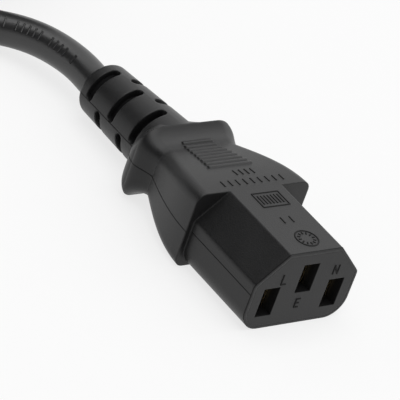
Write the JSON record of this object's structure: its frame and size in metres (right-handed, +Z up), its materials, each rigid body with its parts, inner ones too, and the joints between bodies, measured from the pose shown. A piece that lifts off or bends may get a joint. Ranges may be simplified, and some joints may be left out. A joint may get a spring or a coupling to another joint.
{
  "type": "power cord",
  "caption": "Black mains cord with a moulded keyed appliance connector, slotted strain relief, round jacket, tied hank of cord and a moulded inlet plug with flat blades.",
  "frame": {"origin": "middle of the connector's footprint on the surface that it rests on", "axes": "+X out of the connector's contact face along its length, +Z up with the connector lying flat, earth slot uppermost"},
  "size_m": [0.2415, 0.0578, 0.0398],
  "materials": {
    "overmould": "moulded flexible PVC, satin black",
    "cord_jacket": "extruded flexible PVC jacket, satin black",
    "carrier_plastic": "stiff moulded plastic, dark grey",
    "contact_brass": "stamped spring brass",
    "blade_metal": "nickel plated blades",
    "copper_strands": "fine bare copper strands",
    "core_brown": "brown core insulation",
    "core_blue": "blue core insulation",
    "core_green_yellow": "green and yellow core insulation",
    "tie_strap": "woven hook and loop strap, black"
  },
  "bodies": {
    "root": {"connector_overmould": "overmould", "connector_carrier": "carrier_plastic", "connector_contact_live": "contact_brass", "connector_contact_neutral": "contact_brass", "connector_contact_earth": "contact_brass", "connector_core_live": "core_brown", "connector_core_neutral": "core_blue", "connector_core_earth": "core_green_yellow", "connector_strands_live": "copper_strands", "connector_strands_neutral": "copper_strands", "connector_strands_earth": "copper_strands", "cord_lead": "cord_jacket", "cord_hank": "cord_jacket", "hank_tie": "tie_strap", "cord_tail": "cord_jacket", "plug_overmould": "overmould", "plug_carrier": "carrier_plastic", "plug_blade_live": "blade_metal", "plug_blade_neutral": "blade_metal", "plug_blade_earth": "blade_metal", "plug_core_live": "core_brown", "plug_core_neutral": "core_blue", "plug_core_earth": "core_green_yellow", "plug_strands_live": "copper_strands", "plug_strands_neutral": "copper_strands", "plug_strands_earth": "copper_strands"}
  },
  "joints": []
}
